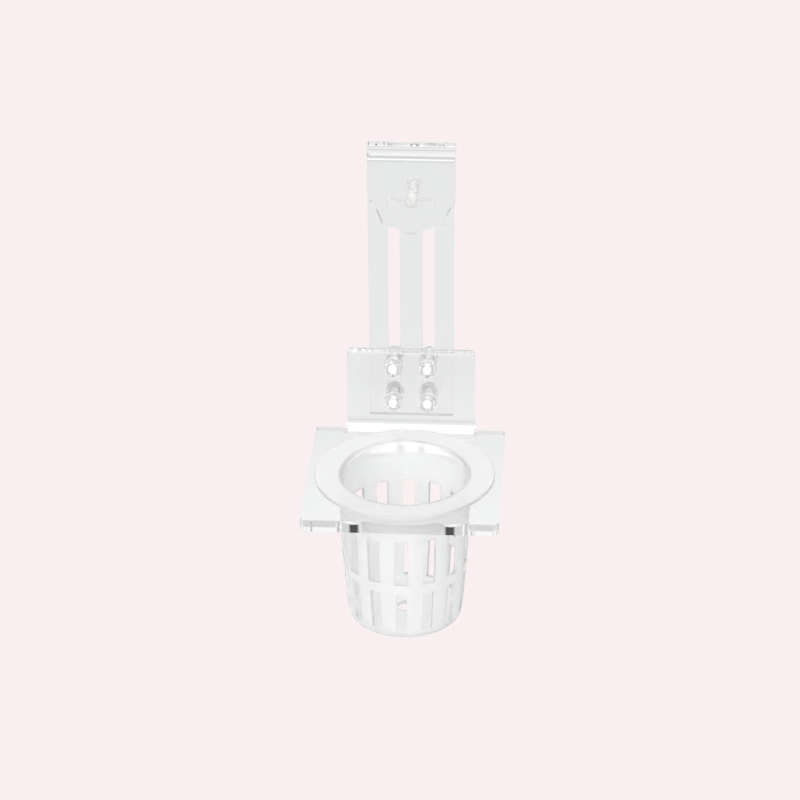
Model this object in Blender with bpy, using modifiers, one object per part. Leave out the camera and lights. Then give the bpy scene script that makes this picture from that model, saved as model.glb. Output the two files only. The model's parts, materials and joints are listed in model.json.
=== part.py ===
"""Hair dryer holder in clear acrylic.

A slotted arm hooks over the top of an upright panel and is clamped there by a nylon screw.  A bent
bracket, held in the arm's two slots by four nylon screws with clear nuts, carries a flanged, slotted basket
that takes the dryer's barrel.

Frame: the origin is on the face of the arm that rests against the panel, on the centre line, just
above the slots.  +X is to the right of someone facing the holder, +Y goes into the panel, +Z is up.
"""

import math

import bmesh
import bpy
from mathutils import Matrix, Vector

MM = 0.001
GAP = 0.3 * MM                      # air between faces that would touch

# hanger arm: one bent sheet
ARM_WIDTH = 54 * MM
ARM_SHEET = 6 * MM
HOOK_GAP = 14 * MM                  # room for the panel and the clamp
HOOK_TANGENT = 7.1 * MM             # height where the bend starts
ARM_BOTTOM = -163 * MM
SLOT_X = 11 * MM
SLOT_WIDTH = 8 * MM
SLOT_BOTTOM = -155 * MM
SLOT_TOP = -12.8 * MM
SLOT_CORNER = 2.5 * MM
TONGUE_SHOULDER = -21 * MM          # where the tongue's sides start to come in
TONGUE_BOTTOM = -44.3 * MM
# half width of the tongue at heights above its bottom, in millimetres
TONGUE_EDGE = ((26.2, 20.8), (24.2, 18.3), (22.3, 14.8), (20.9, 11.3), (19.6, 7.8), (18.6, 5.9), (17.2, 5.0),
               (14.8, 4.4), (10.5, 3.3), (6.4, 1.8), (3.0, 0.5))

# shelf bracket: one bent sheet
SHELF_TOP = -168 * MM
SHELF_SHEET = 8 * MM
SHELF_WIDTH = 122 * MM
SHELF_DEPTH = 120 * MM
SHELF_CORNER = 5 * MM
TAB_WIDTH = 82 * MM
TAB_HEIGHT = 52 * MM                # above the shelf's top face
BEND_INNER = 4 * MM
SCREW_HEIGHTS = (19.5 * MM, 44 * MM)

# basket: moulded cup
BASKET_Y = -79.5 * MM
FLANGE_RADIUS = 56.5 * MM
FLANGE_THICKNESS = 2 * MM
MOUTH_ROUND = 3 * MM
CUP_TOP_RADIUS = 41.5 * MM
CUP_BOTTOM_RADIUS = 36 * MM
CUP_WALL = 2.4 * MM
CUP_DEPTH = 98.4 * MM
CUP_FOOT_ROUND = 3 * MM
FLOOR_THICKNESS = 3 * MM
DRAIN_RADIUS = 6 * MM
CUP_SLOTS = 14
UPPER_SLOT = (25 * MM, 57 * MM, 8.2 * MM)     # from, to below the shelf, width
LOWER_SLOT = (64 * MM, 93 * MM, 6.6 * MM)
SHELF_HOLE_CLEARANCE = 0.7 * MM

# fasteners, M6: natural nylon screws, clear nuts and washers
SHANK_RADIUS = 3 * MM
CLEAR_RADIUS = 3.3 * MM
HEAD_RADIUS = 5 * MM
HEAD_HEIGHT = 3.9 * MM
DRIVER_SLOT = (1.6 * MM, 2 * MM)              # width, depth
TIP_CHAMFER = 0.8 * MM
BRACKET_SCREW_LENGTH = 25 * MM
CLAMP_SCREW_LENGTH = 30 * MM
WASHER_RADIUS = 6 * MM
WASHER_THICKNESS = 1.6 * MM
NUT_FLATS = 10 * MM
NUT_HEIGHT = 5 * MM
CLAMP_HEIGHT = -17 * MM
CAP_RADIUS = 3.9 * MM
CAP_FLOOR = 1.8 * MM
CAP_LENGTH = 4.5 * MM

ROUND_STEPS = 32
BEND_STEPS = 16
CUP_STEPS = 4 * CUP_SLOTS
OVERSHOOT = 2 * MM                  # how far a cutter runs past the face it cuts

# worked out from the above
ARM_REAR = 0.0
ARM_FRONT = -ARM_SHEET
TAB_REAR = ARM_FRONT - GAP
TAB_FRONT = TAB_REAR - SHELF_SHEET
SHELF_BACK = TAB_FRONT - BEND_INNER
SHELF_FRONT = SHELF_BACK - SHELF_DEPTH
HEAD_SEAT = ARM_REAR + WASHER_THICKNESS + 2 * GAP
FRONT_WASHER_FACE = TAB_FRONT - GAP
NUT_FACE = FRONT_WASHER_FACE - WASHER_THICKNESS - GAP
CAP_FACE = ARM_REAR + 0.4 * MM
CLAMP_TIP = CAP_FACE + CAP_FLOOR + GAP

# local x, y, z go to world Y, Z, X: a profile drawn as (depth, height) is extruded across the width
ACROSS = Matrix(((0, 0, 1), (1, 0, 0), (0, 1, 0))).to_4x4()
# local x, y, z go to world X, Z, -Y: an outline drawn as (across, height) is extruded in depth
UPRIGHT = Matrix(((1, 0, 0), (0, 0, -1), (0, 1, 0))).to_4x4()


def clear_scene():
    for item in list(bpy.data.objects):
        bpy.data.objects.remove(item, do_unlink=True)


def new_collection(name):
    made = bpy.data.collections.new(name)
    bpy.context.scene.collection.children.link(made)
    return made


def plastic(name, colour, roughness, transmission):
    """A Principled material for a clear or milky plastic."""
    made = bpy.data.materials.new(name)
    made.use_nodes = True
    shader = made.node_tree.nodes["Principled BSDF"]
    shader.inputs["Base Color"].default_value = (*colour, 1)
    shader.inputs["Roughness"].default_value = roughness
    shader.inputs["Metallic"].default_value = 0
    shader.inputs["IOR"].default_value = 1.49
    shader.inputs["Transmission Weight"].default_value = transmission
    return made


def arc(centre, radius, start, end, steps):
    """Points on a circle from start to end, in degrees, both ends included."""
    return [
        (
            centre[0] + radius * math.cos(math.radians(start + (end - start) * i / steps)),
            centre[1] + radius * math.sin(math.radians(start + (end - start) * i / steps)),
        )
        for i in range(steps + 1)
    ]


def extruded(name, outline, thickness, matrix, collection):
    """A flat outline made a solid sheet, centred on its own plane, as a welded mesh."""
    curve = bpy.data.curves.new(name + "_outline", "CURVE")
    curve.dimensions = "2D"
    curve.fill_mode = "BOTH"
    curve.extrude = thickness / 2
    spline = curve.splines.new("POLY")
    spline.points.add(len(outline) - 1)
    for point, (x, y) in zip(spline.points, outline):
        point.co = (x, y, 0, 1)
    spline.use_cyclic_u = True
    drawn = bpy.data.objects.new(name + "_outline", curve)
    collection.objects.link(drawn)
    mesh = bpy.data.meshes.new_from_object(drawn.evaluated_get(bpy.context.evaluated_depsgraph_get()))
    bpy.data.objects.remove(drawn)
    bm = bmesh.new()
    bm.from_mesh(mesh)
    bmesh.ops.remove_doubles(bm, verts=bm.verts, dist=1e-6)
    bmesh.ops.recalc_face_normals(bm, faces=bm.faces)
    bm.to_mesh(mesh)
    bm.free()
    mesh.transform(matrix)
    mesh.name = name
    made = bpy.data.objects.new(name, mesh)
    collection.objects.link(made)
    return made


def turned(name, profile, closed, steps, collection):
    """A profile of (radius, height) points turned about Z; a closed one makes a ring."""
    mesh = bpy.data.meshes.new(name)
    count = len(profile)
    edges = [(i, i + 1) for i in range(count - 1)]
    if closed:
        edges.append((count - 1, 0))
    mesh.from_pydata([(radius, 0, height) for radius, height in profile], edges, [])
    made = bpy.data.objects.new(name, mesh)
    collection.objects.link(made)
    screw = made.modifiers.new("turn", "SCREW")
    screw.axis = "Z"
    screw.steps = screw.render_steps = steps
    screw.use_merge_vertices = True
    screw.merge_threshold = 0.00001
    screw.use_smooth_shade = True
    return made


def box_cutter(name, low, high, cutters):
    """A box between two corners, for cutting."""
    bm = bmesh.new()
    bmesh.ops.create_cube(bm, size=1)
    mesh = bpy.data.meshes.new(name)
    bm.to_mesh(mesh)
    bm.free()
    size = [b - a for a, b in zip(low, high)]
    middle = [(a + b) / 2 for a, b in zip(low, high)]
    mesh.transform(Matrix.Translation(middle) @ Matrix.Diagonal((*size, 1)))
    return as_cutter(bpy.data.objects.new(name, mesh), cutters)


def round_cutter(name, radius, length, centre, direction, steps, cutters):
    """A cylinder about a centre, along a direction, for cutting."""
    bm = bmesh.new()
    bmesh.ops.create_cone(bm, cap_ends=True, segments=steps, radius1=radius, radius2=radius, depth=length)
    mesh = bpy.data.meshes.new(name)
    bm.to_mesh(mesh)
    bm.free()
    turn = Vector((0, 0, 1)).rotation_difference(Vector(direction)).to_matrix().to_4x4()
    mesh.transform(Matrix.Translation(centre) @ turn)
    return as_cutter(bpy.data.objects.new(name, mesh), cutters)


def as_cutter(item, cutters):
    if not item.users_collection:
        cutters.objects.link(item)
    item.hide_render = True
    item.display_type = "WIRE"
    return item


def cut(item, cutter):
    step = item.modifiers.new("cut_" + cutter.name, "BOOLEAN")
    step.operation = "DIFFERENCE"
    step.solver = "EXACT"
    step.object = cutter


def rounded_slot(width, bottom, top, corner, centre):
    """Outline of an upright slot with rounded corners, as (across, height)."""
    left, right = centre - width / 2 + corner, centre + width / 2 - corner
    low, high = bottom + corner, top - corner
    corners = (((right, low), -90), ((right, high), 0), ((left, high), 90), ((left, low), 180))
    return [point for middle, start in corners for point in arc(middle, corner, start, start + 90, 4)]


def tongue_waste():
    """Outline of what is cut off below the tongue: its sides draw in to soft corners and a shallow arc."""
    half = ARM_WIDTH / 2
    right = [(half, TONGUE_SHOULDER)]
    right += [(across * MM, TONGUE_BOTTOM + height * MM) for across, height in TONGUE_EDGE]
    left = [(-x, z) for x, z in reversed(right)]
    below = TONGUE_BOTTOM - 10 * MM
    side = half + OVERSHOOT
    return [(side, TONGUE_SHOULDER), *right, (0, TONGUE_BOTTOM), *left, (-side, TONGUE_SHOULDER),
            (-side, below), (side, below)]


def hanger_arm(collection, cutters, material):
    """The arm: a long slotted leg, a bend over the panel's edge and a short tongue behind it."""
    inner = HOOK_GAP / 2
    outer = inner + ARM_SHEET
    middle = (inner, HOOK_TANGENT)
    profile = [(ARM_FRONT, ARM_BOTTOM)]
    profile += arc(middle, outer, 180, 0, BEND_STEPS)
    tongue_low = TONGUE_BOTTOM - OVERSHOOT
    profile += [(HOOK_GAP + ARM_SHEET, tongue_low), (HOOK_GAP, tongue_low)]
    profile += arc(middle, inner, 0, 180, BEND_STEPS)
    profile += [(ARM_REAR, ARM_BOTTOM)]
    arm = extruded("hanger_arm", profile, ARM_WIDTH, ACROSS, collection)
    arm.data.materials.append(material)

    for side, label in ((-1, "left"), (1, "right")):
        outline = rounded_slot(SLOT_WIDTH, SLOT_BOTTOM, SLOT_TOP, SLOT_CORNER, side * SLOT_X)
        slot = extruded("slot_" + label, outline, ARM_SHEET + 2 * OVERSHOOT,
                        Matrix.Translation((0, (ARM_FRONT + ARM_REAR) / 2, 0)) @ UPRIGHT, cutters)
        cut(arm, as_cutter(slot, cutters))

    tongue_middle = HOOK_GAP + ARM_SHEET / 2
    waste = extruded("tongue_waste", tongue_waste(), ARM_SHEET + 2 * OVERSHOOT,
                     Matrix.Translation((0, tongue_middle, 0)) @ UPRIGHT, cutters)
    cut(arm, as_cutter(waste, cutters))
    hole = round_cutter("clamp_hole", CLEAR_RADIUS, ARM_SHEET + 2 * OVERSHOOT,
                        (0, tongue_middle, CLAMP_HEIGHT), (0, 1, 0), ROUND_STEPS, cutters)
    cut(arm, hole)
    return arm


def shelf_bracket(collection, cutters, material):
    """The bracket: a square shelf with a round hole, bent up into a narrower tab."""
    bend = (SHELF_BACK, SHELF_TOP + BEND_INNER)
    outer = BEND_INNER + SHELF_SHEET
    profile = [(SHELF_FRONT, SHELF_TOP), (SHELF_FRONT, SHELF_TOP - SHELF_SHEET)]
    profile += arc(bend, outer, -90, 0, BEND_STEPS // 2)
    profile += [(TAB_REAR, SHELF_TOP + TAB_HEIGHT), (TAB_FRONT, SHELF_TOP + TAB_HEIGHT)]
    profile += arc(bend, BEND_INNER, 0, -90, BEND_STEPS // 2)
    bracket = extruded("shelf_bracket", profile, SHELF_WIDTH, ACROSS, collection)
    bracket.data.materials.append(material)
    round_front_corners(bracket.data)

    low = SHELF_TOP - SHELF_SHEET - OVERSHOOT
    high = SHELF_TOP + TAB_HEIGHT + OVERSHOOT
    side = SHELF_WIDTH / 2 + OVERSHOOT
    for x0, x1, label in ((-side, -TAB_WIDTH / 2, "left"), (TAB_WIDTH / 2, side, "right")):
        trim = box_cutter("tab_trim_" + label, (x0, SHELF_BACK, low), (x1, TAB_REAR + OVERSHOOT, high), cutters)
        cut(bracket, trim)
    hole = round_cutter("shelf_hole", CUP_TOP_RADIUS + SHELF_HOLE_CLEARANCE, SHELF_SHEET + 2 * OVERSHOOT,
                        (0, BASKET_Y, SHELF_TOP - SHELF_SHEET / 2), (0, 0, 1), CUP_STEPS, cutters)
    cut(bracket, hole)
    for number, (x, z) in enumerate(screw_places(), 1):
        bore = round_cutter(f"tab_hole_{number}", CLEAR_RADIUS, SHELF_SHEET + 2 * OVERSHOOT,
                            (x, (TAB_REAR + TAB_FRONT) / 2, z), (0, 1, 0), ROUND_STEPS, cutters)
        cut(bracket, bore)
    return bracket


def round_front_corners(mesh):
    """Rounds the two upright edges at the shelf's front corners."""
    bm = bmesh.new()
    bm.from_mesh(mesh)
    corners = [
        edge for edge in bm.edges
        if all(vert.co.y < SHELF_FRONT + 0.1 * MM for vert in edge.verts)
        and abs(edge.verts[0].co.x - edge.verts[1].co.x) < 0.1 * MM
    ]
    bmesh.ops.bevel(bm, geom=corners, offset=SHELF_CORNER, segments=6, profile=0.5, affect="EDGES")
    bm.to_mesh(mesh)
    bm.free()


def cup_radius(depth):
    """Outside radius of the cup at a depth below the shelf's top face: a gentle, growing taper."""
    share = depth / CUP_DEPTH
    return CUP_TOP_RADIUS - (CUP_TOP_RADIUS - CUP_BOTTOM_RADIUS) * share * share


def basket_profile():
    """Section of the basket as (radius, height above the shelf's top face), outer side first."""
    top = GAP + FLANGE_THICKNESS
    depths = [CUP_DEPTH * i / 8 for i in range(8)]
    foot = (cup_radius(CUP_DEPTH) - CUP_FOOT_ROUND, -CUP_DEPTH + CUP_FOOT_ROUND)
    outline = [(FLANGE_RADIUS, top), (FLANGE_RADIUS, GAP), (CUP_TOP_RADIUS, GAP)]
    outline += [(cup_radius(depth), -depth) for depth in depths[1:]]
    outline += arc(foot, CUP_FOOT_ROUND, 0, -90, 3)
    outline += [(DRAIN_RADIUS, -CUP_DEPTH), (DRAIN_RADIUS, -CUP_DEPTH + FLOOR_THICKNESS)]
    inner_foot = -CUP_DEPTH + FLOOR_THICKNESS
    outline.append((cup_radius(-inner_foot) - CUP_WALL, inner_foot))
    outline += [(cup_radius(depth) - CUP_WALL, -depth) for depth in reversed(depths[1:])]
    mouth = (CUP_TOP_RADIUS - CUP_WALL + MOUTH_ROUND, top - MOUTH_ROUND)
    outline += arc(mouth, MOUTH_ROUND, 180, 90, 3)
    return outline


def nozzle_basket(collection, cutters, material):
    """The flanged cup, with two rows of slots that leave a hoop between them."""
    basket = turned("nozzle_basket", basket_profile(), True, CUP_STEPS, collection)
    basket.location = (0, BASKET_Y, SHELF_TOP)
    basket.data.materials.append(material)
    for row, (start, end, width) in (("upper", UPPER_SLOT), ("lower", LOWER_SLOT)):
        bm = bmesh.new()
        for index in range(CUP_SLOTS):
            made = bmesh.ops.create_cube(bm, size=1)["verts"]
            size = Matrix.Diagonal((CUP_TOP_RADIUS, width, end - start, 1))
            out = Matrix.Translation((CUP_TOP_RADIUS, 0, -(start + end) / 2))
            turn = Matrix.Rotation(-math.pi / 2 + 2 * math.pi * index / CUP_SLOTS, 4, "Z")
            bmesh.ops.transform(bm, matrix=turn @ out @ size, verts=made)
        mesh = bpy.data.meshes.new("cup_slots_" + row)
        bm.to_mesh(mesh)
        bm.free()
        cutter = as_cutter(bpy.data.objects.new("cup_slots_" + row, mesh), cutters)
        cutter.location = basket.location
        cut(basket, cutter)
    return basket


def screw_places():
    """The four bracket screws' places as (across, height): lower left, lower right, upper left, upper right."""
    return [(x, SHELF_TOP + height) for height in SCREW_HEIGHTS for x in (-SLOT_X, SLOT_X)]


def cheese_head_screw(name, length, seat, collection, cutters, material):
    """A slotted cheese-head screw along Y, its head towards +Y and its seat at the given place."""
    profile = [
        (0, HEAD_HEIGHT), (HEAD_RADIUS, HEAD_HEIGHT), (HEAD_RADIUS, 0), (SHANK_RADIUS, 0),
        (SHANK_RADIUS, -length + TIP_CHAMFER), (SHANK_RADIUS - TIP_CHAMFER, -length), (0, -length),
    ]
    screw = turned(name, profile, False, ROUND_STEPS, collection)
    screw.data.materials.append(material)
    screw.rotation_euler = (-math.pi / 2, 0, 0)
    screw.location = seat
    width, depth = DRIVER_SLOT
    reach = HEAD_RADIUS + OVERSHOOT
    x, y, z = seat
    groove = box_cutter(name + "_groove", (x - reach, y + HEAD_HEIGHT - depth, z - width / 2),
                        (x + reach, y + HEAD_HEIGHT + OVERSHOOT, z + width / 2), cutters)
    cut(screw, groove)
    return screw


def washer(name, rear, place, collection, material):
    """A flat washer about Y, its rear face at the given depth."""
    profile = [(WASHER_RADIUS, 0), (WASHER_RADIUS, -WASHER_THICKNESS),
               (CLEAR_RADIUS, -WASHER_THICKNESS), (CLEAR_RADIUS, 0)]
    ring = turned(name, profile, True, ROUND_STEPS, collection)
    ring.data.materials.append(material)
    ring.rotation_euler = (-math.pi / 2, 0, 0)
    ring.location = (place[0], rear, place[1])
    return ring


def hexagon_nut(name, rear, place, collection, cutters, material):
    """A hexagon nut about Y with a flat pair upright, its rear face at the given depth."""
    corner = NUT_FLATS / 2 / math.cos(math.pi / 6)
    bpy.ops.mesh.primitive_cylinder_add(vertices=6, radius=corner, depth=NUT_HEIGHT)
    nut = bpy.context.object
    nut.name = nut.data.name = name
    for owner in nut.users_collection:
        owner.objects.unlink(nut)
    collection.objects.link(nut)
    nut.data.materials.append(material)
    nut.rotation_euler = (math.pi / 2, 0, 0)
    nut.location = (place[0], rear - NUT_HEIGHT / 2, place[1])
    bore = round_cutter(name + "_bore", CLEAR_RADIUS, NUT_HEIGHT + 2 * OVERSHOOT, nut.location,
                        (0, 1, 0), ROUND_STEPS, cutters)
    cut(nut, bore)
    return nut


def clamp_tip_cap(collection, material):
    """The soft cap on the clamp screw's end: a short cup that doesn't turn against the panel."""
    soft = 0.6 * MM
    profile = [(0, CAP_FLOOR), (CLEAR_RADIUS, CAP_FLOOR), (CLEAR_RADIUS, CAP_LENGTH), (CAP_RADIUS, CAP_LENGTH),
               (CAP_RADIUS, soft), (CAP_RADIUS - soft, 0), (0, 0)]
    cap = turned("clamp_tip_cap", profile, False, ROUND_STEPS, collection)
    cap.data.materials.append(material)
    cap.rotation_euler = (-math.pi / 2, 0, 0)
    cap.location = (0, CAP_FACE, CLAMP_HEIGHT)
    return cap


def smooth_round_pieces(collection):
    """Smooth shading with crisp edges where faces meet at more than 30 degrees."""
    for item in collection.objects:
        item.data.shade_smooth()
        item.data.set_sharp_from_angle(angle=math.radians(30))


def build():
    clear_scene()
    holder = new_collection("hair_dryer_holder")
    cutters = new_collection("cutters")
    acrylic = plastic("clear_acrylic_sheet", (0.95, 0.96, 0.96), 0.03, 1.0)
    moulded = plastic("clear_moulded_plastic", (0.94, 0.95, 0.95), 0.08, 1.0)
    nylon = plastic("natural_nylon", (0.9, 0.9, 0.88), 0.4, 0.3)
    rubber = plastic("soft_white_cap", (0.88, 0.88, 0.87), 0.6, 0.0)

    hanger_arm(holder, cutters, acrylic)
    shelf_bracket(holder, cutters, acrylic)
    nozzle_basket(holder, cutters, moulded)
    for number, place in enumerate(screw_places(), 1):
        seat = (place[0], HEAD_SEAT, place[1])
        cheese_head_screw(f"bracket_screw_{number}", BRACKET_SCREW_LENGTH, seat, holder, cutters, nylon)
        washer(f"rear_washer_{number}", ARM_REAR + GAP + WASHER_THICKNESS, place, holder, moulded)
        washer(f"front_washer_{number}", FRONT_WASHER_FACE, place, holder, moulded)
        hexagon_nut(f"bracket_nut_{number}", NUT_FACE, place, holder, cutters, moulded)
    clamp_seat = (0, CLAMP_TIP + CLAMP_SCREW_LENGTH, CLAMP_HEIGHT)
    cheese_head_screw("clamp_screw", CLAMP_SCREW_LENGTH, clamp_seat, holder, cutters, nylon)
    clamp_tip_cap(holder, rubber)
    smooth_round_pieces(holder)


build()
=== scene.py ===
import json
import math

import bmesh
import bpy
from mathutils import Matrix, Vector

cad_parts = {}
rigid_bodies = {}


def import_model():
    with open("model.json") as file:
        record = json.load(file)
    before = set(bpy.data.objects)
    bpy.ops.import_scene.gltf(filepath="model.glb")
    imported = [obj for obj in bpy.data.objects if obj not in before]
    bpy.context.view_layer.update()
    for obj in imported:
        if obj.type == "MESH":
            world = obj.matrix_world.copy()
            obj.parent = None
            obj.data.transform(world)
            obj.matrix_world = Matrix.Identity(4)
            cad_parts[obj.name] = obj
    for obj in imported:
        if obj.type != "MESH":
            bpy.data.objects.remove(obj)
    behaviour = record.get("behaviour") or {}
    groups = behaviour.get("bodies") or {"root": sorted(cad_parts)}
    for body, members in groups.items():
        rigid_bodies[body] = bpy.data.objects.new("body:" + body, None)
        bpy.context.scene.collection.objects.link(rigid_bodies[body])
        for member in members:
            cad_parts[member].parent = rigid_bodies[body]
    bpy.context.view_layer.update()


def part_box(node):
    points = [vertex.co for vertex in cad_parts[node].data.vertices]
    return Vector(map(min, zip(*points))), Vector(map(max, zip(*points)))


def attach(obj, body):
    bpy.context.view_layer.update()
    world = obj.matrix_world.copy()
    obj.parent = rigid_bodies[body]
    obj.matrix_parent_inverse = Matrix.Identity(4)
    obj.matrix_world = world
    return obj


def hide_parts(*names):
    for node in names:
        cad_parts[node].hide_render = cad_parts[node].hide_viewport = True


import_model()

mm = 0.001
scene = bpy.context.scene
shopfloor = bpy.data.collections.new("workInProgress")
scene.collection.children.link(shopfloor)


def colour(hexCode):
    # sRGB hex to linear, with alpha 1
    parts = [int(hexCode[i:i + 2], 16) / 255 for i in (0, 2, 4)]
    linear = [p / 12.92 if p <= 0.04045 else ((p + 0.055) / 1.055) ** 2.4 for p in parts]
    return (*linear, 1)


def addNode(tree, kind, settings=None, links=None):
    # one node, with attributes or socket values by name, and links into its inputs
    node = tree.nodes.new(kind)
    for key, value in (settings or {}).items():
        if isinstance(key, str) and hasattr(node, key):
            setattr(node, key, value)
        else:
            node.inputs[key].default_value = value
    for key, source in (links or {}).items():
        tree.links.new(source, node.inputs[key])
    return node


def newMaterial(name):
    made = bpy.data.materials.new(name)
    made.use_nodes = True
    made.node_tree.nodes.clear()
    return made, made.node_tree


def plainMesh(item, name):
    # the evaluated object as a plain mesh object at the origin
    bpy.context.view_layer.update()
    mesh = bpy.data.meshes.new_from_object(item.evaluated_get(bpy.context.evaluated_depsgraph_get()))
    mesh.transform(item.matrix_world)
    mesh.name = name
    made = bpy.data.objects.new(name, mesh)
    scene.collection.objects.link(made)
    return made


def keepObject(name, mesh):
    # an object of the work in progress, removed before the end
    made = bpy.data.objects.new(name, mesh)
    shopfloor.objects.link(made)
    return made


def shopMesh(item, name):
    # the evaluated object as a plain mesh that stays with the work in progress
    made = plainMesh(item, name)
    scene.collection.objects.unlink(made)
    shopfloor.objects.link(made)
    return made


def finished(item, finish):
    # an item whose one material is the finish
    item.data.materials.clear()
    item.data.materials.append(finish)
    return item


def cleaned(mesh):
    distance = 1e-6
    bm = bmesh.new()
    bm.from_mesh(mesh)
    bmesh.ops.remove_doubles(bm, verts=bm.verts, dist=distance)
    bmesh.ops.dissolve_degenerate(bm, edges=bm.edges, dist=distance)
    bmesh.ops.recalc_face_normals(bm, faces=bm.faces)
    bm.to_mesh(mesh)
    bm.free()
    return mesh


def eased(item, width, segments, angle=35):
    # polished edges: a small bevel where faces meet sharply, and shading weighted to the large faces
    bevel = item.modifiers.new("easedEdges", "BEVEL")
    bevel.width = width
    bevel.segments = segments
    bevel.limit_method = "ANGLE"
    bevel.angle_limit = math.radians(angle)
    bevel.miter_outer = "MITER_ARC"
    bevel.use_clamp_overlap = True
    item.data.shade_smooth()
    weighted = item.modifiers.new("flatFaces", "WEIGHTED_NORMAL")
    weighted.weight = 60
    weighted.keep_sharp = True


def middleOf(node):
    low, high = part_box(node)
    return [(a + b) / 2 for a, b in zip(low, high)]


def arc(centre, radius, start, end, steps):
    # points on a circle, in degrees, both ends included
    turns = [math.radians(start + (end - start) * i / steps) for i in range(steps + 1)]
    return [(centre[0] + radius * math.cos(t), centre[1] + radius * math.sin(t)) for t in turns]


def roundedOutline(corners, steps=8):
    # a closed outline through corners given as (x, y, radius), each rounded by its own radius
    outline = []
    count = len(corners)
    for i, (x, y, radius) in enumerate(corners):
        here = Vector((x, y))
        if radius == 0:
            outline.append((x, y))
            continue
        before = (Vector(corners[i - 1][:2]) - here).normalized()
        after = (Vector(corners[(i + 1) % count][:2]) - here).normalized()
        half = before.angle(after) / 2
        reach = radius / math.tan(half)
        middle = here + (before + after).normalized() * (radius / math.sin(half))
        first = here + before * reach - middle
        sweep = first.angle_signed(here + after * reach - middle)
        for k in range(steps + 1):
            turn = -sweep * k / steps
            spun = Vector((first.x * math.cos(turn) - first.y * math.sin(turn),
                           first.x * math.sin(turn) + first.y * math.cos(turn)))
            outline.append(tuple(middle + spun))
    return outline


def circle(x, y, radius, steps=40):
    return arc((x, y), radius, 0, 360 - 360 / steps, steps - 1)


# both acrylic sheets are cut flat and then bent on a hot wire, as the real ones are
def flatSheet(name, outline, holes, thickness):
    # the cut sheet lying in the XY plane, its holes taken out, as one closed mesh
    curve = bpy.data.curves.new(name, "CURVE")
    curve.dimensions = "2D"
    curve.fill_mode = "BOTH"
    curve.extrude = thickness / 2
    for loop in [outline] + holes:
        spline = curve.splines.new("POLY")
        spline.points.add(len(loop) - 1)
        for point, (x, y) in zip(spline.points, loop):
            point.co = (x, y, 0, 1)
        spline.use_cyclic_u = True
    drawn = keepObject(name + "Flat", curve)
    mesh = bpy.data.meshes.new_from_object(drawn.evaluated_get(bpy.context.evaluated_depsgraph_get()))
    bpy.data.objects.remove(drawn)
    return cleaned(mesh)


def bendSheet(mesh, bend, sheet, place):
    # slices the bend zone, rolls it round its inner radius and lets its side edges swell as hot acrylic does
    middleRadius = bend["inner"] + sheet / 2
    length = middleRadius * math.radians(bend["angle"])
    start, end = bend["start"], bend["start"] + length
    bm = bmesh.new()
    bm.from_mesh(mesh)
    for i in range(bend["slices"] + 1):
        along = start + length * i / bend["slices"]
        bmesh.ops.bisect_plane(bm, geom=bm.verts[:] + bm.edges[:] + bm.faces[:], dist=1e-7,
                               plane_co=(0, along, 0), plane_no=(0, 1, 0))
    full = math.radians(bend["angle"])
    for vert in bm.verts:
        x, s, t = vert.co
        radius = middleRadius - t
        turn = min(max((s - start) / middleRadius, 0), full)
        rest = min(s - start, 0) + max(s - end, 0)
        along = start + radius * math.sin(turn) + rest * math.cos(turn if s > start else 0)
        up = middleRadius - radius * math.cos(turn) + (rest * math.sin(turn) if s > end else 0)
        swell = bend["swell"] * math.sin(math.pi * turn / full) ** 2 * (2 * t / sheet)
        if abs(abs(x) - bend["halfWidth"]) < 0.05 * mm:
            x += math.copysign(swell, x)
        vert.co = place @ Vector((x, along, up))
    bmesh.ops.recalc_face_normals(bm, faces=bm.faces)
    bm.to_mesh(mesh)
    bm.free()
    return mesh


arm = {
    "sheet": 6 * mm,
    "gap": 14 * mm,  # between the strip and the tongue
    "slotWidth": 8 * mm,
    "slotX": 11 * mm,
    "slotEnds": (8 * mm, 150.2 * mm),  # heights above the strip's foot
    "slotCorner": 2.6 * mm,
    "tongue": 51.4 * mm,  # flat length past the bend
    "clampHole": 3.3 * mm,
    "swell": 0.7 * mm,  # how far the bend's edges bulge
    "ease": 0.45 * mm,
    # the tongue's half width against the distance from its end, in millimetres
    "tongueEdge": ((27, 23.3), (26.8, 22.2), (26.2, 20.8), (25.2, 19.4), (24.2, 18.3), (23.2, 16.6),
                   (22.3, 14.8), (21.5, 13.0), (20.9, 11.3), (20.2, 9.4), (19.6, 7.8), (19.2, 6.8),
                   (18.6, 5.9), (18, 5.4), (17.2, 5.0), (14.8, 4.3), (12.6, 3.5), (10.5, 2.7),
                   (8.4, 1.9), (6.4, 1.2), (4.6, 0.6), (3, 0.25), (1.5, 0.06)),
}


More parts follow.
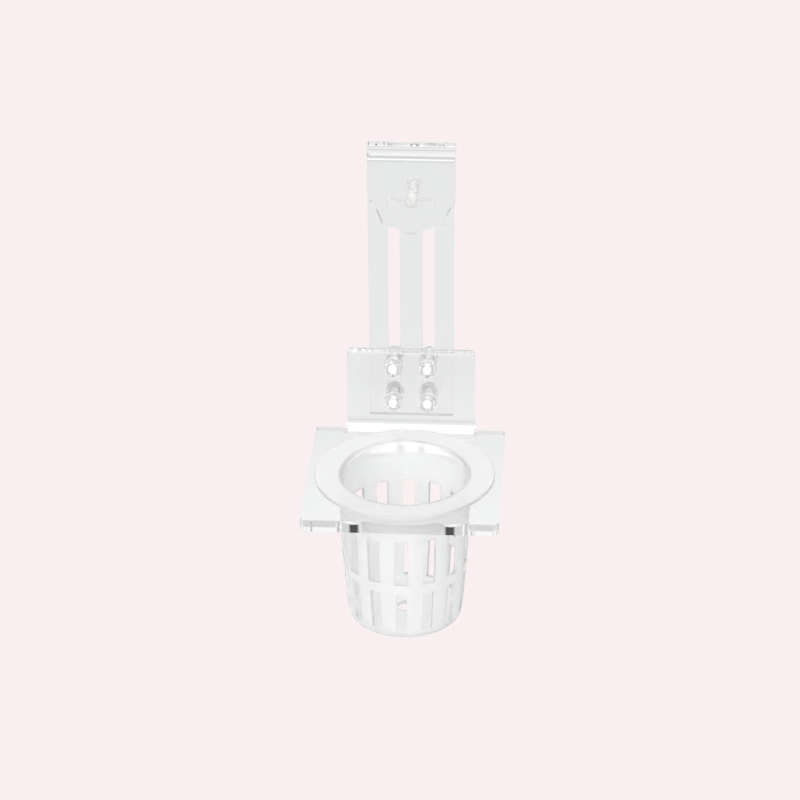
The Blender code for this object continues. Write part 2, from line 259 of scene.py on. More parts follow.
def makeArm(s):
    low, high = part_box("hanger_arm")
    half = high[0]
    tangent = high[2] - s["gap"] / 2 - s["sheet"]
    leg = tangent - low[2]
    bendLength = math.pi * (s["gap"] + s["sheet"]) / 2
    tongueStart = leg + bendLength
    tip = tongueStart + s["tongue"]
    rightSide = [(half, 0)] + [(across * mm, tip - up * mm) for across, up in s["tongueEdge"]]
    outline = rightSide + [(0, tip)] + [(-x, y) for x, y in reversed(rightSide)]
    bottom, top = s["slotEnds"]
    slots = []
    for side in (-1, 1):
        x0, x1 = side * s["slotX"] - s["slotWidth"] / 2, side * s["slotX"] + s["slotWidth"] / 2
        c = s["slotCorner"]
        slots.append(roundedOutline([(x0, bottom, c), (x1, bottom, c), (x1, top, c), (x0, top, c)]))
    hole = circle(0, tongueStart + tangent - middleOf("clamp_tip_cap")[2], s["clampHole"])
    mesh = flatSheet("hangerArm", outline, slots + [hole], s["sheet"])
    bend = {"start": leg, "inner": s["gap"] / 2, "angle": 180, "slices": 44, "swell": s["swell"],
            "halfWidth": half}
    upright = Matrix(((1, 0, 0, 0), (0, 0, 1, low[1] + s["sheet"] / 2), (0, 1, 0, low[2]), (0, 0, 0, 1)))
    bendSheet(mesh, bend, s["sheet"], upright)
    draft = keepObject("hangerArmDraft", mesh)
    eased(draft, s["ease"], 3)
    return plainMesh(draft, "hangerArmSheet")


bracket = {
    "sheet": 8 * mm,
    "inner": 4 * mm,  # inner radius of the bend
    "tabHalf": 41 * mm,
    "frontCorner": 5 * mm,
    "backCorner": 1.5 * mm,
    "tabCorner": 2.5 * mm,
    "relief": 1.5 * mm,
    "bore": 42.2 * mm,  # radius of the cup's hole
    "screwBore": 3.3 * mm,
    "swell": 1.1 * mm,
    "ease": 0.5 * mm,
}


def makeBracket(s):
    low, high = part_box("shelf_bracket")
    half = high[0]
    back = high[1] - s["sheet"] - s["inner"]
    depth = back - low[1]
    bendLength = math.pi / 2 * (s["inner"] + s["sheet"] / 2)
    shelfTop = low[2] + s["sheet"]
    tabEnd = depth + bendLength + (high[2] - shelfTop - s["inner"])
    tab = s["tabHalf"]
    # a drilled relief at each end of the bend keeps the corner from cracking
    relief = arc((tab + 0.8 * s["relief"], depth), s["relief"], 0, -216, 14)
    turns = [(half, 0, s["frontCorner"]), (half, depth, s["backCorner"])]
    turns += [(x, y, 0) for x, y in relief] + [(tab, tabEnd, s["tabCorner"]), (-tab, tabEnd, s["tabCorner"])]
    turns += [(-x, y, 0) for x, y in reversed(relief)] + [(-half, depth, s["backCorner"]),
                                                          (-half, 0, s["frontCorner"])]
    outline = roundedOutline(turns)
    holes = [circle(0, middleOf("nozzle_basket")[1] - low[1], s["bore"], 120)]
    for number in range(1, 5):
        across, _, up = middleOf(f"bracket_nut_{number}")
        holes.append(circle(across, depth + bendLength + up - shelfTop - s["inner"], s["screwBore"]))
    mesh = flatSheet("shelfBracket", outline, holes, s["sheet"])
    bend = {"start": depth, "inner": s["inner"], "angle": 90, "slices": 22, "swell": s["swell"],
            "halfWidth": tab}
    lying = Matrix.Translation((0, low[1], low[2] + s["sheet"] / 2))
    bendSheet(mesh, bend, s["sheet"], lying)
    draft = keepObject("shelfBracketDraft", mesh)
    eased(draft, s["ease"], 3)
    return plainMesh(draft, "shelfBracketSheet")


# the moulded cup: a turned section with two rows of slots cut by rule
basket = {
    "flange": 56.5 * mm,
    "flangeThick": 2 * mm,
    "mouth": 41.5 * mm,
    "foot": 36 * mm,
    "depth": 98.4 * mm,
    "wall": 2.4 * mm,
    "floor": 3 * mm,
    "drain": 6 * mm,
    "lip": 3 * mm,
    "slots": 14,
    "upperRow": (25 * mm, 57 * mm, 8.2 * mm),  # top and bottom below the shelf, and width
    "lowerRow": (64 * mm, 93 * mm, 6.6 * mm),
    "ease": 0.4 * mm,
}


def cupRadius(s, down):
    share = down / s["depth"]
    return s["mouth"] - (s["mouth"] - s["foot"]) * share * share


def basketSection(s):
    # closed section as (radius, height above the shelf), outer side first
    seat = 0.3 * mm
    top = seat + s["flangeThick"]
    downs = [s["depth"] * (i + 1) / 24 for i in range(23)]
    foot = (cupRadius(s, s["depth"]) - 3 * mm, -s["depth"] + 3 * mm)
    inside = -s["depth"] + s["floor"]
    points = arc((s["flange"] - 1 * mm, top - 1 * mm), 1 * mm, 90, 0, 5)
    points += [(s["flange"], seat), (s["mouth"] + 0.4 * mm, seat)]
    points += [(cupRadius(s, d), -d) for d in downs[:-1]]
    points += arc(foot, 3 * mm, 0, -90, 6)
    points += [(s["drain"], -s["depth"]), (s["drain"], inside)]
    points += arc((cupRadius(s, -inside) - s["wall"] - 1.5 * mm, inside + 1.5 * mm), 1.5 * mm, -90, 0, 5)
    points += [(cupRadius(s, d) - s["wall"], -d) for d in reversed(downs[1:-1])]
    points += arc((s["mouth"] - s["wall"] + s["lip"], top - s["lip"]), s["lip"], 180, 90, 8)
    return points


def basketTree():
    tree = bpy.data.node_groups.new("slottedCup", "GeometryNodeTree")
    face = tree.interface
    face.new_socket("Section", in_out="INPUT", socket_type="NodeSocketGeometry")
    sizes = {"Sweep Radius": 0.04, "Slots": 14, "Cut Radius": 0.039, "Upper Height": 0.032,
             "Upper Width": 0.008, "Upper Place": -0.04, "Lower Height": 0.03, "Lower Width": 0.0066,
             "Lower Place": -0.08}
    for label, value in sizes.items():
        kind = "NodeSocketInt" if label == "Slots" else "NodeSocketFloat"
        face.new_socket(label, in_out="INPUT", socket_type=kind).default_value = value
    face.new_socket("Finish", in_out="INPUT", socket_type="NodeSocketMaterial")
    face.new_socket("Cup", in_out="OUTPUT", socket_type="NodeSocketGeometry")
    given = addNode(tree, "NodeGroupInput").outputs
    section = addNode(tree, "GeometryNodeMeshToCurve", links={"Mesh": given["Section"]})
    ring = addNode(tree, "GeometryNodeCurvePrimitiveCircle", {"Resolution": 168},
                   {"Radius": given["Sweep Radius"]})
    body = addNode(tree, "GeometryNodeCurveToMesh",
                   links={"Curve": ring.outputs["Curve"], "Profile Curve": section.outputs["Curve"]})
    seam = addNode(tree, "GeometryNodeMergeByDistance", {"Distance": 0.00001},
                   {"Geometry": body.outputs["Mesh"]})
    cutDepth = 0.012
    cutters = []
    for row in ("Upper", "Lower"):
        size = addNode(tree, "ShaderNodeCombineXYZ", {"X": cutDepth},
                       {"Y": given[row + " Width"], "Z": given[row + " Height"]})
        block = addNode(tree, "GeometryNodeMeshCube", links={"Size": size.outputs["Vector"]})
        spots = addNode(tree, "GeometryNodeMeshCircle", links={"Vertices": given["Slots"],
                                                               "Radius": given["Cut Radius"]})
        index = addNode(tree, "GeometryNodeInputIndex")
        step = addNode(tree, "ShaderNodeMath", {"operation": "DIVIDE", 0: 2 * math.pi}, {1: given["Slots"]})
        turn = addNode(tree, "ShaderNodeMath", {"operation": "MULTIPLY"},
                       {0: index.outputs["Index"], 1: step.outputs["Value"]})
        spin = addNode(tree, "ShaderNodeCombineXYZ", links={"Z": turn.outputs["Value"]})
        placed = addNode(tree, "GeometryNodeInstanceOnPoints",
                         links={"Points": spots.outputs["Mesh"], "Instance": block.outputs["Mesh"],
                                "Rotation": spin.outputs["Vector"]})
        drop = addNode(tree, "ShaderNodeCombineXYZ", links={"Z": given[row + " Place"]})
        moved = addNode(tree, "GeometryNodeTransform", {"Rotation": (0, 0, -math.pi / 2)},
                        {"Geometry": placed.outputs["Instances"], "Translation": drop.outputs["Vector"]})
        cutters.append(addNode(tree, "GeometryNodeRealizeInstances",
                               links={"Geometry": moved.outputs["Geometry"]}))
    whole = seam.outputs["Geometry"]
    for cutter in cutters:
        cut = addNode(tree, "GeometryNodeMeshBoolean", {"operation": "DIFFERENCE", "solver": "EXACT"},
                      {"Mesh 1": whole, "Mesh 2": cutter.outputs["Geometry"]})
        whole = cut.outputs["Mesh"]
    real = addNode(tree, "GeometryNodeRealizeInstances", links={"Geometry": whole})
    done = addNode(tree, "GeometryNodeSetMaterial",
                   links={"Geometry": real.outputs["Geometry"], "Material": given["Finish"]})
    addNode(tree, "NodeGroupOutput", links={"Cup": done.outputs["Geometry"]})
    return tree


def setInputs(modifier, values):
    # a Geometry Nodes modifier's inputs by their names in the tree's interface
    for entry in modifier.node_group.interface.items_tree:
        if entry.item_type == "SOCKET" and entry.in_out == "INPUT" and entry.name in values:
            modifier[entry.identifier] = values[entry.name]


def makeBasket(s, finish):
    centreY = middleOf("nozzle_basket")[1]
    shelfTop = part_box("shelf_bracket")[0][2] + bracket["sheet"]
    sweep = s["mouth"]
    section = [(r - sweep, -h) for r, h in basketSection(s)]
    mesh = bpy.data.meshes.new("cupSection")
    count = len(section)
    mesh.from_pydata([(r, h, 0) for r, h in section], [(i, (i + 1) % count) for i in range(count)], [])
    item = keepObject("cupSection", mesh)
    modifier = item.modifiers.new("slottedCup", "NODES")
    modifier.node_group = basketTree()
    values = {"Sweep Radius": sweep, "Slots": s["slots"], "Cut Radius": s["foot"] + 2 * mm, "Finish": finish}
    for row, (top, bottom, width) in (("Upper", s["upperRow"]), ("Lower", s["lowerRow"])):
        values[row + " Height"] = bottom - top
        values[row + " Width"] = width
        values[row + " Place"] = -(top + bottom) / 2
    setInputs(modifier, values)
    whole = shopMesh(item, "cupWhole")
    cleaned(whole.data)
    eased(whole, s["ease"], 2, 40)
    whole.location = (0, centreY, shelfTop)
    return plainMesh(whole, "nozzleBasketMoulded")


# fasteners: turned parts, the shank with a rolled thread
screw = {
    "shank": 2.95 * mm,
    "pitch": 1.0 * mm,
    "threadDepth": 0.5 * mm,
    "head": 5 * mm,
    "headHeight": 3.9 * mm,
    "slotWidth": 1.6 * mm,
    "slotDepth": 2 * mm,
}


def turnedMesh(name, profile, closed, steps=48):
    # (radius, height) points turned about Z
    mesh = bpy.data.meshes.new(name)
    count = len(profile)
    edges = [(i, i + 1) for i in range(count - 1)] + ([(count - 1, 0)] if closed else [])
    mesh.from_pydata([(r, 0, h) for r, h in profile], edges, [])
    item = keepObject(name, mesh)
    lathe = item.modifiers.new("lathe", "SCREW")
    lathe.axis = "Z"
    lathe.steps = lathe.render_steps = steps
    lathe.use_merge_vertices = True
    lathe.merge_threshold = 0.00001
    made = shopMesh(item, name)
    cleaned(made.data)
    return made


def threadTree():
    # a rod whose surface follows a helix: radius is drawn in by a triangle wave along the thread
    tree = bpy.data.node_groups.new("rolledThread", "GeometryNodeTree")
    face = tree.interface
    for label, value in {"Length": 0.025, "Radius": 0.003, "Pitch": 0.001, "Thread Depth": 0.0005}.items():
        face.new_socket(label, in_out="INPUT", socket_type="NodeSocketFloat").default_value = value
    face.new_socket("Rings", in_out="INPUT", socket_type="NodeSocketInt").default_value = 200
    face.new_socket("Finish", in_out="INPUT", socket_type="NodeSocketMaterial")
    face.new_socket("Rod", in_out="OUTPUT", socket_type="NodeSocketGeometry")
    given = addNode(tree, "NodeGroupInput").outputs
    rod = addNode(tree, "GeometryNodeMeshCylinder", {"Vertices": 36},
                  {"Side Segments": given["Rings"], "Radius": given["Radius"], "Depth": given["Length"]})
    position = addNode(tree, "GeometryNodeInputPosition")
    point = addNode(tree, "ShaderNodeSeparateXYZ", links={"Vector": position.outputs["Position"]})
    angle = addNode(tree, "ShaderNodeMath", {"operation": "ARCTAN2"},
                    {0: point.outputs["Y"], 1: point.outputs["X"]})
    turns = addNode(tree, "ShaderNodeMath", {"operation": "DIVIDE", 1: 2 * math.pi},
                    {0: angle.outputs["Value"]})
    along = addNode(tree, "ShaderNodeMath", {"operation": "DIVIDE"},
                    {0: point.outputs["Z"], 1: given["Pitch"]})
    phase = addNode(tree, "ShaderNodeMath", {"operation": "SUBTRACT"},
                    {0: along.outputs["Value"], 1: turns.outputs["Value"]})
    wave = addNode(tree, "ShaderNodeMath", {"operation": "PINGPONG", 1: 0.5}, {0: phase.outputs["Value"]})
    # the thread runs out towards the tip, where the rod is chamfered
    fromTip = addNode(tree, "ShaderNodeMath", {"operation": "MULTIPLY_ADD", 1: 0.5},
                      {0: given["Length"], 2: point.outputs["Z"]})
    chamfer, tipShare = 0.0012, 0.72
    lead = addNode(tree, "ShaderNodeMapRange",
                   {"From Min": 0.0, "From Max": chamfer, "To Min": tipShare, "To Max": 1.0},
                   {"Value": fromTip.outputs["Value"]})
    dip = addNode(tree, "ShaderNodeMath", {"operation": "MULTIPLY"},
                  {0: wave.outputs["Value"], 1: given["Thread Depth"]})
    share = addNode(tree, "ShaderNodeMath", {"operation": "DIVIDE"},
                    {0: dip.outputs["Value"], 1: given["Radius"]})
    keep = addNode(tree, "ShaderNodeMath", {"operation": "MULTIPLY_ADD", 1: -2.0, 2: 1.0},
                   {0: share.outputs["Value"]})
    grow = addNode(tree, "ShaderNodeMath", {"operation": "MULTIPLY"},
                   {0: keep.outputs["Value"], 1: lead.outputs["Result"]})
    x, y = [addNode(tree, "ShaderNodeMath", {"operation": "MULTIPLY"},
                    {0: point.outputs[axis], 1: grow.outputs["Value"]}) for axis in "XY"]
    spot = addNode(tree, "ShaderNodeCombineXYZ",
                   links={"X": x.outputs["Value"], "Y": y.outputs["Value"], "Z": point.outputs["Z"]})
    shaped = addNode(tree, "GeometryNodeSetPosition", links={"Geometry": rod.outputs["Mesh"],
                                                             "Position": spot.outputs["Vector"]})
    real = addNode(tree, "GeometryNodeRealizeInstances", links={"Geometry": shaped.outputs["Geometry"]})
    done = addNode(tree, "GeometryNodeSetMaterial",
                   links={"Geometry": real.outputs["Geometry"], "Material": given["Finish"]})
    addNode(tree, "NodeGroupOutput", links={"Rod": done.outputs["Geometry"]})
    return tree


def joined(name, items):
    # several shop-floor meshes as one
    bm = bmesh.new()
    for item in items:
        part = item.data.copy()
        part.transform(item.matrix_world)
        bm.from_mesh(part)
    mesh = bpy.data.meshes.new(name)
    bm.to_mesh(mesh)
    bm.free()
    mesh.materials.append(items[0].data.materials[0])
    return keepObject(name, mesh)


def boolean(item, other, operation):
    step = item.modifiers.new(operation.lower(), "BOOLEAN")
    step.operation = operation
    step.solver = "EXACT"
    step.object = other


rolledThread = threadTree()


def cheeseHeadScrew(name, s, length, finish):
    # along Z: head above 0, threaded shank below
    rod = keepObject(name + "Rod", bpy.data.meshes.new(name + "Rod"))
    modifier = rod.modifiers.new("rolledThread", "NODES")
    modifier.node_group = rolledThread
    inHead = 0.6 * mm
    ringsPerTurn = 8
    setInputs(modifier, {"Length": length + inHead, "Radius": s["shank"], "Pitch": s["pitch"],
                         "Thread Depth": s["threadDepth"],
                         "Rings": int(length / s["pitch"] * ringsPerTurn), "Finish": finish})
    rod.location = (0, 0, (inHead - length) / 2)
    shank = finished(shopMesh(rod, name + "Shank"), finish)
    shank.data.shade_smooth()
    shank.data.set_sharp_from_angle(angle=math.radians(60))
    soft = 0.6 * mm
    top = s["headHeight"]
    profile = [(0, top)] + arc((s["head"] - soft, top - soft), soft, 90, 0, 5)
    profile += [(s["head"], 0.15 * mm), (s["head"] - 0.15 * mm, 0), (0, 0)]
    head = turnedMesh(name + "Head", profile, False)
    bm = bmesh.new()
    bmesh.ops.create_cube(bm, size=1)
    groove = bpy.data.meshes.new(name + "Groove")
    bmesh.ops.transform(bm, matrix=Matrix.Translation((0, 0, top - s["slotDepth"] + 2 * mm))
                        @ Matrix.Diagonal((0.02, s["slotWidth"], 4 * mm, 1)), verts=bm.verts)
    bm.to_mesh(groove)
    bm.free()
    boolean(head, keepObject(name + "Groove", groove), "DIFFERENCE")
    eased(head, 0.15 * mm, 2, 40)
    headDone = finished(shopMesh(head, name + "HeadDone"), finish)
    return joined(name, [headDone, shank])


washer = {"outer": 6 * mm, "inner": 3.3 * mm, "thickness": 1.6 * mm, "soft": 0.2 * mm}


def washerMesh(name, s, finish):
    # along Z, from 0 down
    outer, inner, thickness, soft = s["outer"], s["inner"], s["thickness"], s["soft"]
    profile = [(inner, 0), (outer - soft, 0), (outer, -soft), (outer, -thickness + soft),
               (outer - soft, -thickness), (inner, -thickness)]
    ring = turnedMesh(name, profile, True)
    ring.data.shade_smooth()
    ring.data.set_sharp_from_angle(angle=math.radians(30))
    return finished(shopMesh(ring, name + "Done"), finish)


nut = {"flats": 10 * mm, "height": 5 * mm, "bore": 3.3 * mm, "chamfer": 0.55 * mm, "countersink": 1.7 * mm}


def nutMesh(name, s, finish):
    # a hexagon with both faces chamfered to a circle and its bore countersunk, along Z from 0 down
    flats, height, bore, drop = s["flats"], s["height"], s["bore"], s["chamfer"]
    bm = bmesh.new()
    corner = flats / 2 / math.cos(math.pi / 6)
    bmesh.ops.create_cone(bm, cap_ends=True, segments=6, radius1=corner, radius2=corner, depth=height)
    bmesh.ops.translate(bm, vec=(0, 0, -height / 2), verts=bm.verts)
    mesh = bpy.data.meshes.new(name)
    bm.to_mesh(mesh)
    bm.free()
    hexagon = keepObject(name, mesh)
    flat = flats / 2 - 0.1 * mm
    wide = corner + 0.4 * mm
    profile = [(0, 0), (flat, 0), (wide, -drop), (wide, -height + drop), (flat, -height), (0, -height)]
    boolean(hexagon, turnedMesh(name + "Chamfer", profile, False, 60), "INTERSECT")
    sunk = bore + s["countersink"]
    through = [(0, 1 * mm), (sunk, 1 * mm), (bore, -0.7 * mm), (bore, -height + 0.7 * mm),
               (sunk, -height - 1 * mm), (0, -height - 1 * mm)]
    boolean(hexagon, turnedMesh(name + "Bore", through, False), "DIFFERENCE")
    eased(hexagon, 0.12 * mm, 2, 30)
    return finished(shopMesh(hexagon, name + "Done"), finish)


cap = {"soft": 2.2 * mm, "bore": 3.3 * mm, "nose": 1.8 * mm, "rim": 0.1 * mm}


def tipCapMesh(name, s, finish):
    # along Z from a rounded nose at 0 up, open where the screw's tip goes in
    low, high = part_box("clamp_tip_cap")
    length, radius = high[1] - low[1], (high[0] - low[0]) / 2
    profile = [(0, s["nose"]), (s["bore"], s["nose"]), (s["bore"], length), (radius - s["rim"], length)]
    profile += [(radius, length - s["rim"])] + arc((radius - s["soft"], s["soft"]), s["soft"], 0, -90, 6)
    shell = turnedMesh(name, profile + [(0, 0)], False)
    shell.data.shade_smooth()
    shell.data.set_sharp_from_angle(angle=math.radians(40))
    return finished(shopMesh(shell, name + "Done"), finish)


def repeatTree():
    tree = bpy.data.node_groups.new("repeatAtPlaces", "GeometryNodeTree")
    face = tree.interface
    face.new_socket("Places", in_out="INPUT", socket_type="NodeSocketGeometry")
    face.new_socket("Piece", in_out="INPUT", socket_type="NodeSocketObject")
    face.new_socket("Tilt", in_out="INPUT", socket_type="NodeSocketVector")
    face.new_socket("Uneven Turn", in_out="INPUT", socket_type="NodeSocketFloat")
    face.new_socket("Finish", in_out="INPUT", socket_type="NodeSocketMaterial")
    face.new_socket("Pieces", in_out="OUTPUT", socket_type="NodeSocketGeometry")
    given = addNode(tree, "NodeGroupInput").outputs
    piece = addNode(tree, "GeometryNodeObjectInfo", {"transform_space": "ORIGINAL"},
                    {"Object": given["Piece"]})
    spin = addNode(tree, "FunctionNodeRandomValue", {"data_type": "FLOAT", "Seed": 7},
                   {"Max": given["Uneven Turn"]})
    about = addNode(tree, "ShaderNodeCombineXYZ", links={"Z": spin.outputs["Value"]})
    placed = addNode(tree, "GeometryNodeInstanceOnPoints",
                     links={"Points": given["Places"], "Instance": piece.outputs["Geometry"],
                            "Rotation": given["Tilt"]})
    own = addNode(tree, "GeometryNodeRotateInstances", {"Local Space": True},
                  {"Instances": placed.outputs["Instances"], "Rotation": about.outputs["Vector"]})
    real = addNode(tree, "GeometryNodeRealizeInstances", links={"Geometry": own.outputs["Instances"]})
    done = addNode(tree, "GeometryNodeSetMaterial",
                   links={"Geometry": real.outputs["Geometry"], "Material": given["Finish"]})
    addNode(tree, "NodeGroupOutput", links={"Pieces": done.outputs["Geometry"]})
    return tree


repeatAtPlaces = repeatTree()


def repeated(name, piece, places, unevenTurn, finish):
    # copies of a piece, head end towards +Y, at each place
    mesh = bpy.data.meshes.new(name + "Places")
    mesh.from_pydata([tuple(p) for p in places], [], [])
    item = keepObject(name + "Places", mesh)
    modifier = item.modifiers.new("repeat", "NODES")
    modifier.node_group = repeatAtPlaces
    setInputs(modifier, {"Piece": piece, "Tilt": (-math.pi / 2, 0, 0), "Uneven Turn": unevenTurn,
                         "Finish": finish})
    return plainMesh(item, name)


def clearPlastic(name, tint, ior, clear, rough, wave):
    # clear plastic: light goes straight through, with faint rubbing marks and a soft waviness of the faces
    made, tree = newMaterial(name)
    coords = addNode(tree, "ShaderNodeTexCoord")
    ripple = addNode(tree, "ShaderNodeTexNoise", {"Scale": 1 / wave["size"], "Detail": 1.0, "Roughness": 0.4},
                     {"Vector": coords.outputs["Object"]})
    bump = addNode(tree, "ShaderNodeBump", {"Strength": wave["strength"], "Distance": wave["height"]},
                   {"Height": ripple.outputs["Fac"]})
    rub = addNode(tree, "ShaderNodeTexNoise", {"Scale": 1 / rough["size"], "Detail": 6.0, "Roughness": 0.65},
                  {"Vector": coords.outputs["Object"]})
    worn = addNode(tree, "ShaderNodeMapRange",
                   {"From Min": 0.5, "From Max": 0.8, "To Min": rough["least"], "To Max": rough["most"]},
                   {"Value": rub.outputs["Fac"]})
    shader = addNode(tree, "ShaderNodeBsdfPrincipled",
                     {"Base Color": colour(tint), "IOR": ior, "Transmission Weight": clear, "Metallic": 0.0},
                     {"Roughness": worn.outputs["Result"], "Normal": bump.outputs["Normal"]})
    addNode(tree, "ShaderNodeOutputMaterial", links={"Surface": shader.outputs["BSDF"]})
    return made


def milkyPlastic(name, light, shade, roughness, through):
    # milky plastic: cloudy inside, a satin skin from the mould
    made, tree = newMaterial(name)
    coords = addNode(tree, "ShaderNodeTexCoord")
    cloud = addNode(tree, "ShaderNodeTexNoise", {"Scale": 300.0, "Detail": 3.0, "Roughness": 0.5},
                    {"Vector": coords.outputs["Object"]})
    tone = addNode(tree, "ShaderNodeMix", {"data_type": "RGBA"}, {0: cloud.outputs["Fac"]})
    tone.inputs[6].default_value = colour(light)
    tone.inputs[7].default_value = colour(shade)
    bump = addNode(tree, "ShaderNodeBump", {"Strength": 0.1, "Distance": 0.00003},
                   {"Height": cloud.outputs["Fac"]})
    shader = addNode(tree, "ShaderNodeBsdfPrincipled",
                     {"IOR": 1.53, "Roughness": roughness, "Metallic": 0.0, "Transmission Weight": through},
                     {"Base Color": tone.outputs[2], "Normal": bump.outputs["Normal"]})
    addNode(tree, "ShaderNodeOutputMaterial", links={"Surface": shader.outputs["BSDF"]})
    return made


# cast acrylic, diamond-cut and polished: colourless and glassy, with faint rubbing marks
castAcrylic = clearPlastic("castAcrylicPolished", "FEFEFE", 1.49, 1.0,
                           {"size": 25 * mm, "least": 0.0, "most": 0.02},
                           {"size": 60 * mm, "strength": 0.05, "height": 0.2 * mm})
# injection-moulded polystyrene: cloudy beside the sheets, with flow ripples from the mould
mouldedStyrene = clearPlastic("polystyreneMouldedClear", "FEFEFE", 1.57, 0.64,
                              {"size": 20 * mm, "least": 0.14, "most": 0.26},
                              {"size": 14 * mm, "strength": 0.12, "height": 0.25 * mm})
# clear polycarbonate nuts and washers: glassy, with faint moulding haze that softens their corners
clearFixings = clearPlastic("polycarbonateMouldedClear", "FEFEFE", 1.585, 0.8,
                            {"size": 8 * mm, "least": 0.18, "most": 0.3},
                            {"size": 6 * mm, "strength": 0.1, "height": 0.1 * mm})
# moulded natural nylon: milky white with a satin skin, and light glows through its thin edges
nylon = milkyPlastic("nylonMouldedNatural", "FDFDFC", "F6F6F4", 0.35, 0.1)
# moulded elastomer: a soft, dull white
softWhite = milkyPlastic("elastomerMouldedWhite", "F4F4F1", "EAEAE6", 0.6, 0.0)
print("finishes made")


def place(piece, body, slotName, *nodes):
    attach(piece, body)
    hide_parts(*nodes)


armPiece = finished(makeArm(arm), castAcrylic)
place(armPiece, "hanger", "acrylic_sheet", "hanger_arm")
print("arm bent")

bracketPiece = finished(makeBracket(bracket), castAcrylic)
place(bracketPiece, "bracket", "acrylic_sheet", "shelf_bracket")
print("bracket bent")

basketPiece = makeBasket(basket, mouldedStyrene)
place(basketPiece, "basket", "moulded_clear", "nozzle_basket")
print("basket moulded")

numbers = range(1, 5)


def seats(nodes, head=0.0):
    # where each fastener's own origin goes: on its axis, at its front end less the head's height
    return [(middleOf(node)[0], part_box(node)[1][1] - head, middleOf(node)[2]) for node in nodes]


def screwLength(node):
    low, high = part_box(node)
    return high[1] - screw["headHeight"] - low[1]


screwNodes = [f"bracket_screw_{n}" for n in numbers]
shortScrew = cheeseHeadScrew("shortScrew", screw, screwLength(screwNodes[0]), nylon)
screwSet = repeated("bracketScrews", shortScrew, seats(screwNodes, screw["headHeight"]), 2.6, nylon)
place(screwSet, "bracket", "nylon", *screwNodes)

oneWasher = washerMesh("washer", washer, clearFixings)
for side in ("rear", "front"):
    washerNodes = [f"{side}_washer_{n}" for n in numbers]
    washerSet = repeated(side + "Washers", oneWasher, seats(washerNodes), 0, clearFixings)
    place(washerSet, "bracket", "moulded_clear", *washerNodes)

oneNut = nutMesh("hexNut", nut, clearFixings)
for n in numbers:
    nutPiece = repeated(f"bracketNut{n}", oneNut, seats([f"bracket_nut_{n}"]), 0, clearFixings)
    place(nutPiece, f"nut_{n}", "moulded_clear", f"bracket_nut_{n}")

longScrew = cheeseHeadScrew("longScrew", screw, screwLength("clamp_screw"), nylon)
clampPiece = repeated("clampScrewThreaded", longScrew, seats(["clamp_screw"], screw["headHeight"]), 0, nylon)
place(clampPiece, "clamp", "nylon", "clamp_screw")

capSeat = (0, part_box("clamp_tip_cap")[0][1], middleOf("clamp_tip_cap")[2])
capPiece = repeated("clampTipCapSoft", tipCapMesh("tipCap", cap, softWhite), [capSeat], 0, softWhite)
place(capPiece, "clamp_tip", "soft_cap", "clamp_tip_cap")
print("fasteners made")

for item in list(shopfloor.objects):
    bpy.data.objects.remove(item, do_unlink=True)
bpy.data.collections.remove(shopfloor)

# a studio with no paper behind: the camera sees flat pale rose, while glass and light see a grey-white room
room = {
    "seen": "F9EFF0",
    "air": "FEFFFF",
    # brightness behind the object against the sine of the height angle, from straight down to straight up
    "behind": [(-1.0, 0.95), (-0.56, 1.05), (-0.5, 0.95), (-0.455, 0.82), (-0.388, 0.82), (-0.379, 0.7),
               (-0.358, 0.7), (-0.35, 1.0), (-0.335, 0.95), (-0.322, 0.5), (-0.2, 0.5), (-0.15, 0.86),
               (0.34, 0.86), (0.45, 0.66), (0.62, 0.68), (0.72, 0.9), (1.0, 1.0)],
    "front": 0.8,  # brightness on the camera's side
    "sides": (0.79, 0.85, 0.02),  # how far sideways the dim ends begin and are full, and their brightness
    "endsAbove": 0.2,
    "fill": 1.15,
}


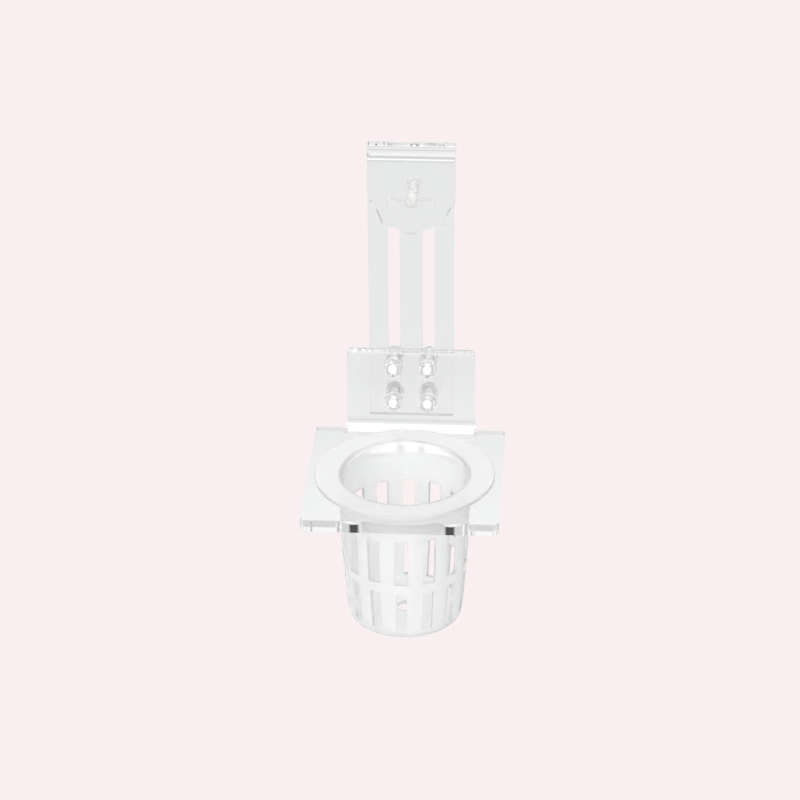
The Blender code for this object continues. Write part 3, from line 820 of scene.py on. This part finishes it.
def makeRoom(s):
    air = bpy.data.worlds.new("studioRoom")
    air.use_nodes = True
    tree = air.node_tree
    tree.nodes.clear()
    look = addNode(tree, "ShaderNodeTexCoord")
    along = addNode(tree, "ShaderNodeSeparateXYZ", links={"Vector": look.outputs["Generated"]})
    share = addNode(tree, "ShaderNodeMapRange", {"From Min": -1.0, "From Max": 1.0},
                    {"Value": along.outputs["Z"]})
    behind = addNode(tree, "ShaderNodeValToRGB", links={"Fac": share.outputs["Result"]})
    stops = behind.color_ramp.elements
    while len(stops) < len(s["behind"]):
        stops.new(0.5)
    for stop, (height, level) in zip(stops, s["behind"]):
        stop.position = (height + 1) / 2
        stop.color = (level, level, level, 1)
    # the room turns from its back wall to the side the camera stands on
    facing = addNode(tree, "ShaderNodeMapRange",
                     {"From Min": -0.25, "From Max": 0.25, "To Min": 1.0, "To Max": 0.0},
                     {"Value": along.outputs["Y"]})
    around = addNode(tree, "ShaderNodeMix", {"data_type": "FLOAT", 3: s["front"]},
                     {0: facing.outputs["Result"], 2: behind.outputs["Color"]})
    # unlit ends of the room, left and right, which draw dark marks inside the sheets' edges
    sideways = addNode(tree, "ShaderNodeMath", {"operation": "ABSOLUTE"}, {0: along.outputs["X"]})
    low, high, level = s["sides"]
    dim = addNode(tree, "ShaderNodeMapRange",
                  {"interpolation_type": "SMOOTHSTEP", "From Min": low, "From Max": high, "To Min": 1.0,
                   "To Max": level}, {"Value": sideways.outputs["Value"]})
    # the dark ends hang above eye level, so that a look from the side stays bright
    raised = addNode(tree, "ShaderNodeMapRange",
                     {"From Min": s["endsAbove"] - 0.05, "From Max": s["endsAbove"] + 0.05},
                     {"Value": along.outputs["Z"]})
    ends = addNode(tree, "ShaderNodeMix", {"data_type": "FLOAT", 2: 1.0},
                   {0: raised.outputs["Result"], 3: dim.outputs["Result"]})
    light = addNode(tree, "ShaderNodeMath", {"operation": "MULTIPLY"},
                    {0: around.outputs[0], 1: ends.outputs[0]})
    # bounced fill for matt surfaces only
    rays = addNode(tree, "ShaderNodeLightPath")
    fill = addNode(tree, "ShaderNodeMapRange", {"To Min": 1.0, "To Max": s["fill"]},
                   {"Value": rays.outputs["Is Diffuse Ray"]})
    total = addNode(tree, "ShaderNodeMath", {"operation": "MULTIPLY"},
                    {0: light.outputs["Value"], 1: fill.outputs["Result"]})
    grey = addNode(tree, "ShaderNodeBackground", {"Color": colour(s["air"])},
                   {"Strength": total.outputs["Value"]})
    rose = addNode(tree, "ShaderNodeBackground", {"Color": colour(s["seen"]), "Strength": 1.0})
    both = addNode(tree, "ShaderNodeMixShader", links={0: rays.outputs["Is Camera Ray"], 1: grey.outputs[0],
                                                       2: rose.outputs[0]})
    addNode(tree, "ShaderNodeOutputWorld", links={"Surface": both.outputs["Shader"]})
    scene.world = air


makeRoom(room)

# soft boxes: a large one overhead leaning to the camera's side, and a low one that no face mirrors
lights = {
    "softboxTop": {"size": (1.7, 1.2), "energy": 11, "place": (0.0, -0.95, 1.35), "mirrored": True},
    "softboxFront": {"size": (0.9, 0.5), "energy": 11, "place": (-0.5, -1.6, 0.5), "mirrored": False},
}


def makeLights(boxes):
    for name, s in boxes.items():
        data = bpy.data.lights.new(name, "AREA")
        data.shape = "RECTANGLE"
        data.size, data.size_y = s["size"]
        data.energy = s["energy"]
        made = bpy.data.objects.new(name, data)
        made.location = s["place"]
        made.visible_glossy = made.visible_transmission = s["mirrored"]
        aim = Vector((0, -0.06, -0.12)) - Vector(s["place"])  # at the middle of the holder
        made.rotation_euler = aim.to_track_quat("-Z", "Y").to_euler()
        scene.collection.objects.link(made)


makeLights(lights)

camera = {"azimuth": 2.91, "elevation": 27.72, "distance": 1.7386, "lens": 124.42,
          "target": (0.0206, -0.05, -0.1297), "shift": -0.05}


def makeCamera(s):
    az, el = math.radians(s["azimuth"]), math.radians(s["elevation"])
    back = Vector((math.sin(az) * math.cos(el), -math.cos(az) * math.cos(el), math.sin(el)))
    data = bpy.data.cameras.new("camera")
    data.lens = s["lens"]
    data.shift_x = s["shift"]
    made = bpy.data.objects.new("camera", data)
    made.location = Vector(s["target"]) + back * s["distance"]
    made.rotation_euler = (-back).to_track_quat("-Z", "Y").to_euler()
    scene.collection.objects.link(made)
    scene.camera = made


makeCamera(camera)
scene.view_settings.view_transform = "Standard"
# light has to pass many faces of clear sheet before it comes out
scene.cycles.max_bounces = 64
scene.cycles.blur_glossy = 0
scene.cycles.glossy_bounces = 64
scene.cycles.transmission_bounces = 64
print("studio lit")
